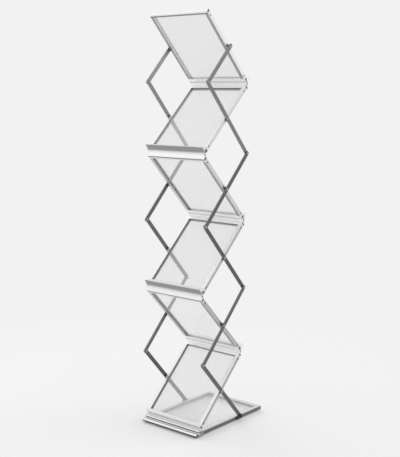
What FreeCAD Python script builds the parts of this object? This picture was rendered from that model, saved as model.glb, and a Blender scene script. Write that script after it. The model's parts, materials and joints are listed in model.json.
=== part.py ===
import FreeCAD, Part
import math
import os

import Sketcher

# A six-pocket folding brochure stand: six clear shelves zigzag up from a flat base, each
# hinged to the next, and a lazy-tong chain of flat arms on each side ties them together.
# Units are millimetres and degrees.  +X is the stand's right, -Y its front, +Z up, and the
# origin lies on the floor under the middle of the base.

SHELF_COUNT = 6
SIDES = {"left": -1, "right": 1}

# Driving sizes, one cell of the sheet each.
SIZES = {
    # frame
    "shelf_width": 248.0,
    "hinge_span": 322.8,
    "shelf_tilt": 44.4,
    "rail_depth": 13.0,
    "side_rail_face": 13.0,
    "end_rail_face": 12.0,
    "rail_wall": 1.5,
    "fold_gap": 0.2,
    # clear sheets
    "sheet_thickness": 2.5,
    "sheet_seat": 5.0,
    "sheet_play": 0.1,
    # hinges between shelves
    "bead_radius": 3.0,
    "hinge_play": 0.06,
    "barrel_radius": 4.8,
    "neck_thickness": 1.5,
    "neck_reach": 12.0,
    "swing_margin": 3.0,
    # ledges
    "ledge_wall": 2.0,
    "lip_root_rise": 9.0,
    "lip_tip_rise": 25.0,
    "lip_reach": 11.0,
    "lip_bend_radius": 14.0,
    "top_edge_radius": 2.5,
    # lazy-tong arms
    "arm_width": 14.5,
    "arm_thickness": 3.0,
    "arm_standoff": 3.0,
    "arm_gap": 0.5,
    "arm_tail": 12.0,
    "face_play": 0.1,
    # pivots and rivets
    "pin_radius": 2.5,
    "pin_play": 0.05,
    "pivot_shank_radius": 3.5,
    "pivot_flange_radius": 5.4,
    "pivot_head_radius": 5.0,
    "pivot_head_height": 1.5,
    "rivet_head_radius": 5.5,
    "rivet_head_height": 2.0,
    "rivet_foot_height": 1.4,
    # base
    "base_depth": 380.0,
    "base_rail_height": 15.6,
    "base_rail_face": 13.0,
    "foot_height": 4.0,
    "foot_radius": 6.0,
    "foot_inset": 14.0,
    "nose_reach": 21.0,
    "nose_radius": 6.0,
    "nose_bore_radius": 4.0,
    "front_rail_tail": 18.0,
    "trough_rise": 7.0,
    "track_height": 4.0,
    "track_depth": 3.0,
    "rail_corner": 0.8,
    # foot shoes and lock knobs
    "shoe_length": 32.0,
    "shoe_thickness": 2.5,
    "shoe_side_play": 0.3,
    "shoe_eye_radius": 7.0,
    "shoe_floor_gap": 2.0,
    "tongue_play": 0.1,
    "tongue_end_play": 0.4,
    "knob_radius": 7.0,
    "knob_height": 7.0,
    "knob_gap": 0.3,
    "knob_cap": 1.6,
    "knob_valley_depth": 1.2,
    "cut_overrun": 5.0,
}
KNOB_LOBES = 10
KNOB_TIP_SHARE = 0.25

# Small pins, heads and holes are drawn with this many flats instead of a true round.
ROUND_FLATS = 12

# How near an edge passes to a spot, and how little it strays from an axis, to count as found.
SPOT_REACH = 1e-4
STRAY = 1e-6


class Size:
    """A length, angle or ratio with its value and the sheet expression that gives it."""

    def __init__(self, value, text):
        self.value = value
        self.text = text

    def __add__(self, other):
        return combine(self, other, "+", lambda a, b: a + b)

    def __radd__(self, other):
        return combine(other, self, "+", lambda a, b: a + b)

    def __sub__(self, other):
        return combine(self, other, "-", lambda a, b: a - b)

    def __rsub__(self, other):
        return combine(other, self, "-", lambda a, b: a - b)

    def __mul__(self, other):
        return combine(self, other, "*", lambda a, b: a * b)

    def __rmul__(self, other):
        return combine(other, self, "*", lambda a, b: a * b)

    def __truediv__(self, other):
        return combine(self, other, "/", lambda a, b: a / b)

    def __neg__(self):
        return combine(0, self, "-", lambda a, b: a - b)


def as_size(number):
    """A plain number as a Size; a Size stays as it is."""
    return number if isinstance(number, Size) else Size(number, f"{number:g}")


def combine(first, second, sign, rule):
    """The Size that an arithmetic sign makes of two."""
    first = as_size(first)
    second = as_size(second)
    return Size(rule(first.value, second.value), f"({first.text} {sign} {second.text})")


def sine(angle):
    """Sine of an angle in degrees."""
    return Size(math.sin(math.radians(angle.value)), f"sin({angle.text})")


def cosine(angle):
    """Cosine of an angle in degrees."""
    return Size(math.cos(math.radians(angle.value)), f"cos({angle.text})")


def arc_sine(ratio):
    """Angle in degrees whose sine is a ratio."""
    return Size(math.degrees(math.asin(ratio.value)), f"(asin({ratio.text}) / 1 deg)")


def root(number):
    """Square root."""
    return Size(math.sqrt(number.value), f"sqrt({number.text})")


doc = FreeCAD.newDocument("BrochureStand")
sheet = doc.addObject("Spreadsheet::Sheet", "Sizes")
for row, (alias, number) in enumerate(SIZES.items(), start=1):
    sheet.set(f"A{row}", alias)
    sheet.set(f"B{row}", f"{number:g}")
    sheet.setAlias(f"B{row}", alias)
doc.recompute()
size = {alias: Size(number, f"Sizes.{alias}") for alias, number in SIZES.items()}

# Shelf frame, seen from its side: "along" runs up the shelf from its lower hinge axis and
# "over" is square to it, on the side that holds the brochures.  The lower axis lies just under
# the frame and the upper axis just over it, so that folded shelves lie flat on each other.
tilt = size["shelf_tilt"]
hinge_rise = size["rail_depth"] + 2 * size["fold_gap"]
frame_low = size["fold_gap"]
frame_high = size["fold_gap"] + size["rail_depth"]
frame_middle = hinge_rise / 2
half_width = size["shelf_width"] / 2

# Steps from one hinge axis to the next with the stand set up, and the arm that spans them.
depth_step = size["hinge_span"] * cosine(tilt) - hinge_rise * sine(tilt)
height_step = size["hinge_span"] * sine(tilt) + hinge_rise * cosine(tilt)
arm_length = root(size["hinge_span"] * size["hinge_span"] + hinge_rise * hinge_rise)

# Where the end rails stop.  The ledge's outer face is flush with the hinge barrel.
ledge_face = size["barrel_radius"]
top_setback = (frame_high * sine(tilt) - ledge_face) / cosine(tilt)
ledge_foot = -(top_setback * sine(tilt) + frame_high * cosine(tilt))
top_rail_end = size["hinge_span"] - top_setback
top_rail_start = top_rail_end - size["end_rail_face"]
bottom_rail_start = size["neck_reach"]
bottom_rail_end = bottom_rail_start + size["end_rail_face"]
socket_radius = size["bead_radius"] + size["hinge_play"]
seat_half = size["sheet_thickness"] / 2 + size["sheet_play"]
seat_depth = size["sheet_seat"] + size["sheet_play"]

# The hinge mouth turns with the neck, whose upper face leaves the socket at this angle.
neck_angle = arc_sine((frame_low + size["neck_thickness"]) / socket_radius)

# Base: its frame is a shelf that lies flat, so the first hinge axis is just over its rails.
base_low = size["foot_height"]
base_high = size["foot_height"] + size["base_rail_height"]
base_middle = size["foot_height"] + size["base_rail_height"] / 2
hinge_height = base_high + size["fold_gap"]
base_front = -size["base_depth"] / 2
base_back = size["base_depth"] / 2
hinge_front = base_front + size["nose_reach"]
hinge_back = hinge_front + depth_step
front_rail_back = hinge_front + size["front_rail_tail"]
back_rail_front = base_back - size["base_rail_face"]

# Planes of the arms, outwards from the rails: odd arms run inside, even arms outside.
inner_plane = half_width + size["arm_standoff"]
outer_plane = inner_plane + size["arm_thickness"] + size["arm_gap"]
pin_hole_radius = size["pin_radius"] + size["pin_play"]
pivot_hole_radius = size["pivot_shank_radius"] + size["pin_play"]

UP = FreeCAD.Vector(0, 0, 1)
ACROSS = FreeCAD.Vector(1, 0, 0)


def hinge_axis(level):
    """Depth and height of the shelf hinge at a level, 0 at the base."""
    depth = hinge_front if level % 2 == 0 else hinge_back
    return depth, hinge_height + level * height_step


def arm_pin(level):
    """Depth and height of the arm pin at a level, opposite the shelf hinge."""
    depth = hinge_back if level % 2 == 0 else hinge_front
    return depth, hinge_height + level * height_step


def arm_plane(number):
    """Distance of an arm's inner face from the middle of the stand."""
    return inner_plane if number % 2 else outer_plane


def bind(thing, name, amount):
    """Ties a property to the sheet."""
    thing.setExpression(name, as_size(amount).text)


def place(thing, position, turn=None):
    """Puts a piece at a position of Sizes, turned first."""
    thing.Placement = FreeCAD.Placement(FreeCAD.Vector(*(as_size(v).value for v in position)),
                                        turn or FreeCAD.Rotation())
    for axis, amount in zip("xyz", position):
        bind(thing, f"Placement.Base.{axis}", amount)


def shelf_turn(number):
    """Rotation of a shelf: odd ones rise to the back, even ones to the front."""
    lean = FreeCAD.Rotation(ACROSS, tilt.value)
    return lean if number % 2 else FreeCAD.Rotation(UP, 180) * lean


def place_on_shelf(thing, number):
    """Puts a piece that is drawn in the shelf frame on shelf 1 to 6."""
    depth, height = hinge_axis(number - 1)
    place(thing, (0, depth, height), shelf_turn(number))


def new_body(label):
    """An empty body under its own name."""
    body = doc.addObject("PartDesign::Body", label)
    body.Label = label
    return body


def new_sketch(body, plane, name, offset=None, turn=None):
    """A sketch on one of the body's own planes, moved along the plane's axes and turned."""
    sketch = body.newObject("Sketcher::SketchObject", f"{body.Name}_{name}")
    support = [item for item in body.Origin.OriginFeatures if item.Role == plane][0]
    sketch.AttachmentSupport = [(support, "")]
    sketch.MapMode = "FlatFace"
    for axis, amount in zip("xyz", offset or ()):
        bind(sketch, f"AttachmentOffset.Base.{axis}", amount)
    if turn is not None:
        bind(sketch, "AttachmentOffset.Rotation.Angle", turn)
    return sketch


def pin_down(sketch, geometry, point, spot):
    """Holds a sketch point at a spot of Sizes, measured from the sketch's origin."""
    for kind, amount in zip(("DistanceX", "DistanceY"), spot):
        amount = as_size(amount)
        rule = Sketcher.Constraint(kind, -1, 1, geometry, point, amount.value)
        bind(sketch, f"Constraints[{sketch.addConstraint(rule)}]", amount)


def draw_polygon(sketch, spots):
    """A closed outline of straight lines through spots of Sizes."""
    corners = [FreeCAD.Vector(as_size(x).value, as_size(y).value, 0) for x, y in spots]
    lines = []
    for start, end in zip(corners, corners[1:] + corners[:1]):
        lines.append(sketch.addGeometry(Part.LineSegment(start, end), False))
    for line, following in zip(lines, lines[1:] + lines[:1]):
        sketch.addConstraint(Sketcher.Constraint("Coincident", line, 2, following, 1))
    for line, spot in zip(lines, spots):
        pin_down(sketch, line, 1, spot)


def draw_rectangle(sketch, low, high):
    """A rectangle between two corners."""
    draw_polygon(sketch, [low, (high[0], low[1]), high, (low[0], high[1])])


def draw_circle(sketch, centre, radius):
    """A circle of a bound radius round a spot."""
    radius = as_size(radius)
    middle = FreeCAD.Vector(as_size(centre[0]).value, as_size(centre[1]).value, 0)
    circle = sketch.addGeometry(Part.Circle(middle, UP, radius.value), False)
    pin_down(sketch, circle, 3, centre)
    index = sketch.addConstraint(Sketcher.Constraint("Radius", circle, radius.value))
    bind(sketch, f"Constraints[{index}]", radius)


def draw_flats(sketch, centre, radius, outside=False):
    """A small round drawn with flats: within its radius, or just outside it for a hole."""
    reach = radius / cosine(as_size(180 / ROUND_FLATS)) if outside else radius
    spots = []
    for index in range(ROUND_FLATS):
        turn = as_size(360 * index / ROUND_FLATS)
        spots.append((centre[0] + reach * cosine(turn), centre[1] + reach * sine(turn)))
    draw_polygon(sketch, spots)


def draw_slot(sketch, start, end, radius):
    """A bar outline along the sketch's x axis, with round ends centred on start and end."""
    reach = radius.value
    low = FreeCAD.Vector(start.value, 0, 0)
    high = FreeCAD.Vector(end.value, 0, 0)
    side = FreeCAD.Vector(0, reach, 0)
    quarter = math.pi / 2
    top = sketch.addGeometry(Part.LineSegment(high + side, low + side), False)
    near = sketch.addGeometry(Part.ArcOfCircle(Part.Circle(low, UP, reach), quarter, 3 * quarter), False)
    bottom = sketch.addGeometry(Part.LineSegment(low - side, high - side), False)
    far = sketch.addGeometry(Part.ArcOfCircle(Part.Circle(high, UP, reach), -quarter, quarter), False)
    loop = [top, near, bottom, far]
    for piece, following in zip(loop, loop[1:] + loop[:1]):
        sketch.addConstraint(Sketcher.Constraint("Tangent", piece, 2, following, 1))
    pin_down(sketch, near, 3, (start, 0))
    pin_down(sketch, far, 3, (end, 0))
    index = sketch.addConstraint(Sketcher.Constraint("Radius", near, reach))
    bind(sketch, f"Constraints[{index}]", radius)


def pad(body, sketch, length, symmetric=False, reverse=False, kind="Pad"):
    """Pads a sketch by a bound length."""
    feature = body.newObject(f"PartDesign::{kind}", f"{sketch.Name}_{kind.lower()}")
    feature.Profile = sketch
    feature.SideType = "Symmetric" if symmetric else "One side"
    feature.Reversed = reverse
    bind(feature, "Length", length)
    return feature


def cut(body, sketch, length, symmetric=False, reverse=False):
    """Pockets a sketch by a bound length."""
    return pad(body, sketch, length, symmetric, reverse, kind="Pocket")


def cut_across(body, sketch):
    """Pockets a sketch through the whole width of the stand."""
    cut(body, sketch, size["shelf_width"] + size["cut_overrun"], symmetric=True)


def edges_along(shape, axis, spots):
    """Names of the straight edges along an axis (0, 1 or 2) that pass through given spots."""
    names = []
    others = [i for i in range(3) if i != axis]
    for index, edge in enumerate(shape.Edges, start=1):
        if not isinstance(edge.Curve, Part.Line) or abs(edge.Curve.Direction[axis]) < 1 - STRAY:
            continue
        middle = [edge.CenterOfMass[i] for i in others]
        if any(math.dist(middle, spot) < SPOT_REACH for spot in spots):
            names.append(f"Edge{index}")
    return names


def dress_edges(body, base, axis, spots, kind, name, amount):
    """Dresses the straight edges that pass through spots of the plane square to an axis."""
    doc.recompute()
    numbers = [tuple(as_size(v).value for v in spot) for spot in spots]
    feature = body.newObject(f"PartDesign::{kind}", f"{base.Name}_{kind.lower()}")
    feature.Base = (base, edges_along(base.Shape, axis, numbers))
    bind(feature, name, amount)
    return feature


def round_edges(body, base, axis, spots, radius):
    """Fillets the edges at those spots."""
    return dress_edges(body, base, axis, spots, "Fillet", "Radius", radius)


def break_edges(body, base, axis, spots, width):
    """Chamfers the edges at those spots."""
    return dress_edges(body, base, axis, spots, "Chamfer", "Size", width)


def upright(outward, up):
    """Shelf-frame spot of a point given outward and up from the upper hinge axis, stand set up."""
    along = size["hinge_span"] + outward * cosine(tilt) + up * sine(tilt)
    over = hinge_rise - outward * sine(tilt) + up * cosine(tilt)
    return along, over


def cut_socket(body, axis_spot, first_angle, last_angle):
    """Cuts the hinge socket and the mouth that the neck swings through."""
    bore = new_sketch(body, "YZ_Plane", "socket", (axis_spot[0], axis_spot[1], 0))
    draw_circle(bore, (0, 0), socket_radius)
    cut_across(body, bore)
    mouth = new_sketch(body, "YZ_Plane", "mouth", (axis_spot[0], axis_spot[1], 0))
    reach = size["barrel_radius"] + size["hinge_play"]
    middle_angle = (first_angle + last_angle) / 2
    # the middle corner reaches past the barrel, so that the mouth is open all the way
    spread = cosine((last_angle - first_angle) / 2)
    rim = [(reach * cosine(angle), reach * sine(angle)) for angle in (first_angle, last_angle)]
    peak = (reach / spread * cosine(middle_angle), reach / spread * sine(middle_angle))
    draw_polygon(mouth, [(0, 0), rim[0], peak, rim[1]])
    cut_across(body, mouth)


def cut_groove(body, face, inward, middle, side_face):
    """Cuts a sheet's groove along an end rail.

    face is the rail's inner face, inward (+1 or -1) the way from it to the sheet, middle the
    height of the sheet and side_face the width of the rails beside it.
    """
    groove = new_sketch(body, "YZ_Plane", "groove")
    floor = face - inward * seat_depth
    mouth = face + inward * size["cut_overrun"]
    draw_rectangle(groove, (floor, middle - seat_half), (mouth, middle + seat_half))
    cut(body, groove, size["shelf_width"] - 2 * (side_face - seat_depth), symmetric=True)


def cut_chamber(body, low, high):
    """Hollows an end rail between two corners, from end to end."""
    chamber = new_sketch(body, "YZ_Plane", "chamber")
    wall = size["rail_wall"]
    draw_rectangle(chamber, (low[0] + wall, low[1] + wall), (high[0] - wall, high[1] - wall))
    cut_across(body, chamber)


def make_ledge_rail(number):
    """Top rail of a shelf, with the hinge barrel and flared ledge that serve the pocket above it."""
    body = new_body(f"shelf_{number}_ledge_rail")
    box = new_sketch(body, "YZ_Plane", "box")
    draw_rectangle(box, (top_rail_start, frame_low), (top_rail_end, frame_high))
    pad(body, box, size["shelf_width"], symmetric=True)
    profile = new_sketch(body, "YZ_Plane", "ledge")
    face = ledge_face
    inside = ledge_face - size["ledge_wall"]
    tip_out = face + size["lip_reach"]
    lip_rise = size["lip_tip_rise"] - size["lip_root_rise"]
    slant = root(lip_rise * lip_rise + size["lip_reach"] * size["lip_reach"])
    # offset of the lip's inner face from its outer face, square to the lip
    step_out = size["ledge_wall"] * lip_rise / slant
    step_up = size["ledge_wall"] * size["lip_reach"] / slant
    bend_rise = size["ledge_wall"] * (slant - lip_rise) / size["lip_reach"]
    outer_bend = (face, size["lip_root_rise"])
    inner_bend = (inside, size["lip_root_rise"] + bend_rise)
    outline = [
        (face, ledge_foot),
        outer_bend,
        (tip_out, size["lip_tip_rise"]),
        (tip_out - step_out, size["lip_tip_rise"] + step_up),
        inner_bend,
        (inside, 0),
    ]
    spots = [upright(out, up) for out, up in outline] + [(top_rail_end, frame_high)]
    draw_polygon(profile, spots)
    shell = pad(body, profile, size["shelf_width"], symmetric=True)
    bends = round_edges(body, shell, 0, [upright(*outer_bend)], size["lip_bend_radius"])
    inner_radius = size["lip_bend_radius"] - size["ledge_wall"]
    round_edges(body, bends, 0, [upright(*inner_bend)], inner_radius)
    barrel = new_sketch(body, "YZ_Plane", "barrel")
    draw_circle(barrel, (size["hinge_span"], hinge_rise), size["barrel_radius"])
    pad(body, barrel, size["shelf_width"], symmetric=True)
    mouth_first = 180 - 2 * tilt - neck_angle - size["swing_margin"]
    cut_socket(body, (size["hinge_span"], hinge_rise), mouth_first, 180 + size["swing_margin"])
    cut_groove(body, top_rail_start, -1, frame_middle, size["side_rail_face"])
    cut_chamber(body, (top_rail_start + seat_depth, frame_low), (top_rail_end, frame_high))
    place_on_shelf(body, number)
    return body


def make_top_rail(number):
    """Plain top rail of the last shelf, with softened edges."""
    body = new_body(f"shelf_{number}_top_rail")
    box = new_sketch(body, "YZ_Plane", "box")
    draw_rectangle(box, (top_rail_start, frame_low), (top_rail_end, frame_high))
    block = pad(body, box, size["shelf_width"], symmetric=True)
    corners = [(top_rail_end, frame_low), (top_rail_end, frame_high)]
    round_edges(body, block, 0, corners, size["top_edge_radius"])
    cut_groove(body, top_rail_start, -1, frame_middle, size["side_rail_face"])
    cut_chamber(body, (top_rail_start + seat_depth, frame_low), (top_rail_end, frame_high))
    place_on_shelf(body, number)
    return body


def make_bottom_rail(number):
    """Bottom rail of a shelf: a box with the thin neck and round bead of its hinge."""
    body = new_body(f"shelf_{number}_bottom_rail")
    profile = new_sketch(body, "YZ_Plane", "profile")
    neck_top = frame_low + size["neck_thickness"]
    draw_polygon(profile, [
        (0, frame_low),
        (bottom_rail_end, frame_low),
        (bottom_rail_end, frame_high),
        (bottom_rail_start, frame_high),
        (bottom_rail_start, neck_top),
        (0, neck_top),
    ])
    pad(body, profile, size["shelf_width"], symmetric=True)
    bead = new_sketch(body, "YZ_Plane", "bead")
    draw_circle(bead, (0, 0), size["bead_radius"])
    pad(body, bead, size["shelf_width"], symmetric=True)
    cut_groove(body, bottom_rail_end, 1, frame_middle, size["side_rail_face"])
    cut_chamber(body, (bottom_rail_start, frame_low), (bottom_rail_end - seat_depth, frame_high))
    place_on_shelf(body, number)
    return body


def make_side_rails(number):
    """The two hollow side rails of a shelf, cut to fit between its end rails."""
    rails = []
    for side, sign in SIDES.items():
        body = new_body(f"shelf_{number}_{side}_rail")
        outer = sign * half_width
        inner = sign * (half_width - size["side_rail_face"])
        section = new_sketch(body, "XZ_Plane", "section", (0, 0, -bottom_rail_end))
        draw_rectangle(section, (outer, frame_low), (inner, frame_high))
        length = top_rail_start - bottom_rail_end
        block = pad(body, section, length, reverse=True)
        corners = [(outer, frame_low), (outer, frame_high)]
        break_edges(body, block, 1, corners, size["rail_corner"])
        bore = new_sketch(body, "XZ_Plane", "bore", (0, 0, -bottom_rail_end))
        wall = size["rail_wall"]
        floor = inner + sign * seat_depth
        chamber = (outer - sign * wall, frame_low + wall)
        draw_rectangle(bore, chamber, (floor + sign * wall, frame_high - wall))
        mouth = inner - sign * size["cut_overrun"]
        draw_rectangle(bore, (floor, frame_middle - seat_half), (mouth, frame_middle + seat_half))
        cut(body, bore, length)
        place_on_shelf(body, number)
        rails.append(body)
    return group(f"shelf_{number}_side_rails", rails)


def make_sheet(number):
    """Clear sheet of a shelf, held in the grooves of its four rails."""
    plate = doc.addObject("Part::Box", f"shelf_{number}_sheet")
    plate.Label = f"shelf_{number}_sheet"
    width = size["shelf_width"] - 2 * (size["side_rail_face"] - size["sheet_seat"])
    start = bottom_rail_end - size["sheet_seat"]
    length = top_rail_start + size["sheet_seat"] - start
    bind(plate, "Length", width)
    bind(plate, "Width", length)
    bind(plate, "Height", size["sheet_thickness"])
    depth, height = hinge_axis(number - 1)
    over = frame_middle - size["sheet_thickness"] / 2
    way = 1 if number % 2 else -1
    place(plate, (
        -way * width / 2,
        depth + way * (start * cosine(tilt) - over * sine(tilt)),
        height + start * sine(tilt) + over * cosine(tilt),
    ), shelf_turn(number))
    return plate


def stepped(label, position, turn, steps):
    """A stepped pin along X: steps are (outline, radius, end distance), from the first face outwards."""
    body = new_body(label)
    reached = as_size(0)
    for index, (outline, radius, end) in enumerate(steps):
        section = new_sketch(body, "YZ_Plane", f"step_{index}", (0, 0, reached))
        outline(section, (0, 0), radius)
        pad(body, section, end - reached)
        reached = end
    place(body, position, turn)
    return body


def group(label, members):
    """Like pieces kept together under one name."""
    bundle = doc.addObject("Part::Compound", label)
    bundle.Label = label
    bundle.Links = members
    return bundle


def side_turn(sign):
    """Turns a piece drawn along +X to run outwards on that side."""
    return FreeCAD.Rotation() if sign > 0 else FreeCAD.Rotation(UP, 180)


def make_pivots(number):
    """The black bushes at a shelf's middle: a flange off the rail, a shank and a retaining head."""
    depth, height = hinge_axis(number - 1)
    way = 1 if number % 2 else -1
    middle_depth = depth + way * depth_step / 2
    middle_height = height + height_step / 2
    inside = arm_plane(number) - half_width
    outside = inside + size["arm_thickness"] + size["face_play"]
    steps = [
        (draw_flats, size["pivot_flange_radius"], inside - size["face_play"]),
        (draw_circle, size["pivot_shank_radius"], outside),
        (draw_flats, size["pivot_head_radius"], outside + size["pivot_head_height"]),
    ]
    bushes = []
    for side, sign in SIDES.items():
        label = f"shelf_{number}_{side}_pivot"
        spot = (sign * half_width, middle_depth, middle_height)
        bushes.append(stepped(label, spot, side_turn(sign), steps))
    return group(f"shelf_{number}_pivots", bushes)


def make_arm(number, side):
    """One flat arm of the lazy tongs; the top one ends just past its middle pivot."""
    sign = SIDES[side]
    body = new_body(f"arm_{number}_{side}")
    outline = new_sketch(body, "XY_Plane", "outline")
    whole = number < SHELF_COUNT
    end = arm_length if whole else arm_length / 2 + size["arm_tail"] - size["arm_width"] / 2
    draw_slot(outline, as_size(0), end, size["arm_width"] / 2)
    draw_flats(outline, (0, 0), pin_hole_radius, outside=True)
    draw_flats(outline, (arm_length / 2, 0), pivot_hole_radius, outside=True)
    if whole:
        draw_flats(outline, (arm_length, 0), pin_hole_radius, outside=True)
    pad(body, outline, size["arm_thickness"])
    depth, height = arm_pin(number - 1)
    way = -1 if number % 2 else 1
    run = FreeCAD.Vector(0, way * depth_step.value, height_step.value).normalize()
    turn = FreeCAD.Rotation(run, ACROSS.cross(run), ACROSS, "ZXY")
    inner_face = arm_plane(number) if sign > 0 else -(arm_plane(number) + size["arm_thickness"])
    place(body, (inner_face, depth, height), turn)
    return body


def make_rivets(number):
    """The two rivets that pin an arm's upper end to the next arm, one on each side."""
    depth, height = arm_pin(number)
    start = inner_plane - size["face_play"] - size["rivet_foot_height"]
    shank_from = size["rivet_foot_height"]
    shank_to = outer_plane + size["arm_thickness"] + size["face_play"] - start
    steps = [
        (draw_flats, size["rivet_head_radius"], shank_from),
        (draw_flats, size["pin_radius"], shank_to),
        (draw_flats, size["rivet_head_radius"], shank_to + size["rivet_head_height"]),
    ]
    rivets = []
    for side, sign in SIDES.items():
        label = f"arm_{number}_{side}_rivet"
        rivets.append(stepped(label, (sign * start, depth, height), side_turn(sign), steps))
    return group(f"arm_{number}_rivets", rivets)


def make_front_rail():
    """Front rail of the base: a round hollow nose, a trough and the barrel of the first hinge."""
    body = new_body("base_front_rail")
    profile = new_sketch(body, "YZ_Plane", "profile")
    nose_depth = base_front + size["nose_radius"]
    trough = base_low + size["trough_rise"]
    draw_polygon(profile, [
        (nose_depth, base_low),
        (front_rail_back, base_low),
        (front_rail_back, base_high),
        (hinge_front, base_high),
        (hinge_front - size["barrel_radius"], trough),
        (nose_depth, trough),
    ])
    pad(body, profile, size["shelf_width"], symmetric=True)
    nose = new_sketch(body, "YZ_Plane", "nose")
    nose_middle = (nose_depth, base_low + size["nose_radius"])
    draw_circle(nose, nose_middle, size["nose_radius"])
    pad(body, nose, size["shelf_width"], symmetric=True)
    bore = new_sketch(body, "YZ_Plane", "nose_bore")
    draw_circle(bore, nose_middle, size["nose_bore_radius"])
    cut_across(body, bore)
    barrel = new_sketch(body, "YZ_Plane", "barrel")
    draw_circle(barrel, (hinge_front, hinge_height), size["barrel_radius"])
    pad(body, barrel, size["shelf_width"], symmetric=True)
    mouth_last = tilt + neck_angle + size["swing_margin"]
    cut_socket(body, (hinge_front, hinge_height), -size["swing_margin"], mouth_last)
    cut_groove(body, front_rail_back, 1, base_middle, size["base_rail_face"])
    return body


def make_back_rail():
    """Back rail of the base, with a softened rear edge."""
    body = new_body("base_back_rail")
    box = new_sketch(body, "YZ_Plane", "box")
    draw_rectangle(box, (back_rail_front, base_low), (base_back, base_high))
    block = pad(body, box, size["shelf_width"], symmetric=True)
    corners = [(base_back, base_low), (base_back, base_high)]
    round_edges(body, block, 0, corners, size["top_edge_radius"])
    cut_groove(body, back_rail_front, -1, base_middle, size["base_rail_face"])
    cut_chamber(body, (back_rail_front + seat_depth, base_low), (base_back, base_high))
    return body


def make_base_side_rail(side):
    """Side rail of the base, with the sheet's groove inside and the shoe's track outside."""
    sign = SIDES[side]
    body = new_body(f"base_{side}_rail")
    outer = sign * half_width
    inner = sign * (half_width - size["base_rail_face"])
    start = (0, 0, -front_rail_back)
    length = back_rail_front - front_rail_back
    section = new_sketch(body, "XZ_Plane", "section", start)
    draw_rectangle(section, (outer, base_low), (inner, base_high))
    block = pad(body, section, length, reverse=True)
    break_edges(body, block, 1, [(outer, base_low), (outer, base_high)], size["rail_corner"])
    grooves = new_sketch(body, "XZ_Plane", "grooves", start)
    track_half = size["track_height"] / 2
    over = sign * size["cut_overrun"]
    draw_rectangle(grooves, (outer - sign * size["track_depth"], base_middle - track_half),
                   (outer + over, base_middle + track_half))
    floor = inner + sign * seat_depth
    draw_rectangle(grooves, (floor, base_middle - seat_half), (inner - over, base_middle + seat_half))
    cut(body, grooves, length)
    return body


def make_base_sheet():
    """Clear floor of the base."""
    plate = doc.addObject("Part::Box", "base_sheet")
    plate.Label = "base_sheet"
    width = size["shelf_width"] - 2 * (size["base_rail_face"] - size["sheet_seat"])
    start = front_rail_back - size["sheet_seat"]
    bind(plate, "Length", width)
    bind(plate, "Width", back_rail_front + size["sheet_seat"] - start)
    bind(plate, "Height", size["sheet_thickness"])
    place(plate, (-width / 2, start, base_middle - size["sheet_thickness"] / 2))
    return plate


def make_feet():
    """Four rubber feet under the front and back rails."""
    feet = []
    across = half_width - size["foot_inset"]
    front = base_front + size["foot_inset"]
    back = base_back - size["base_rail_face"] / 2
    for side, sign in SIDES.items():
        for end, depth in (("front", front), ("back", back)):
            foot = doc.addObject("Part::Prism", f"foot_{side}_{end}")
            foot.Polygon = ROUND_FLATS
            bind(foot, "Circumradius", size["foot_radius"])
            bind(foot, "Height", size["foot_height"])
            place(foot, (sign * across, depth, 0))
            feet.append(foot)
    return group("base_feet", feet)


def make_shoe(side):
    """Slide shoe of the lowest arm: a plate with an eye, and a tongue that runs in the base's track."""
    sign = SIDES[side]
    body = new_body(f"foot_shoe_{side}")
    inner_face = (0, 0, sign * (half_width + size["shoe_side_play"]))
    plate = new_sketch(body, "YZ_Plane", "plate", inner_face)
    low = base_low + size["shoe_floor_gap"] - hinge_height
    half_length = size["shoe_length"] / 2
    draw_rectangle(plate, (-half_length, low), (half_length, 0))
    pad(body, plate, size["shoe_thickness"], reverse=sign < 0)
    eye = new_sketch(body, "YZ_Plane", "eye", inner_face)
    draw_circle(eye, (0, 0), size["shoe_eye_radius"])
    pad(body, eye, size["shoe_thickness"], reverse=sign < 0)
    tongue = new_sketch(body, "YZ_Plane", "tongue", inner_face)
    middle = base_middle - hinge_height
    half_height = size["track_height"] / 2 - size["tongue_play"]
    draw_rectangle(tongue, (-half_length, middle - half_height), (half_length, middle + half_height))
    tongue_length = size["track_depth"] + size["shoe_side_play"] - size["tongue_end_play"]
    pad(body, tongue, tongue_length, reverse=sign > 0)
    bore = new_sketch(body, "YZ_Plane", "bore", inner_face)
    draw_flats(bore, (0, 0), pin_hole_radius, outside=True)
    cut(body, bore, 2 * (size["shoe_thickness"] + size["cut_overrun"]), symmetric=True)
    depth, height = arm_pin(0)
    place(body, (0, depth, height))
    return body


def make_foot_pins():
    """Pins of the lowest arms, each through its shoe and arm and into its lock knob."""
    start = half_width + size["shoe_side_play"]
    end = knob_start() + size["knob_height"] - size["knob_cap"] - size["face_play"]
    depth, height = arm_pin(0)
    pins = []
    for side, sign in SIDES.items():
        label = f"foot_{side}_pin"
        steps = [(draw_circle, size["pin_radius"], end - start)]
        pins.append(stepped(label, (sign * start, depth, height), side_turn(sign), steps))
    return group("foot_pins", pins)


def knob_start():
    """Distance of a lock knob's inner face from the middle of the stand."""
    return inner_plane + size["arm_thickness"] + size["knob_gap"]


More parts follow.
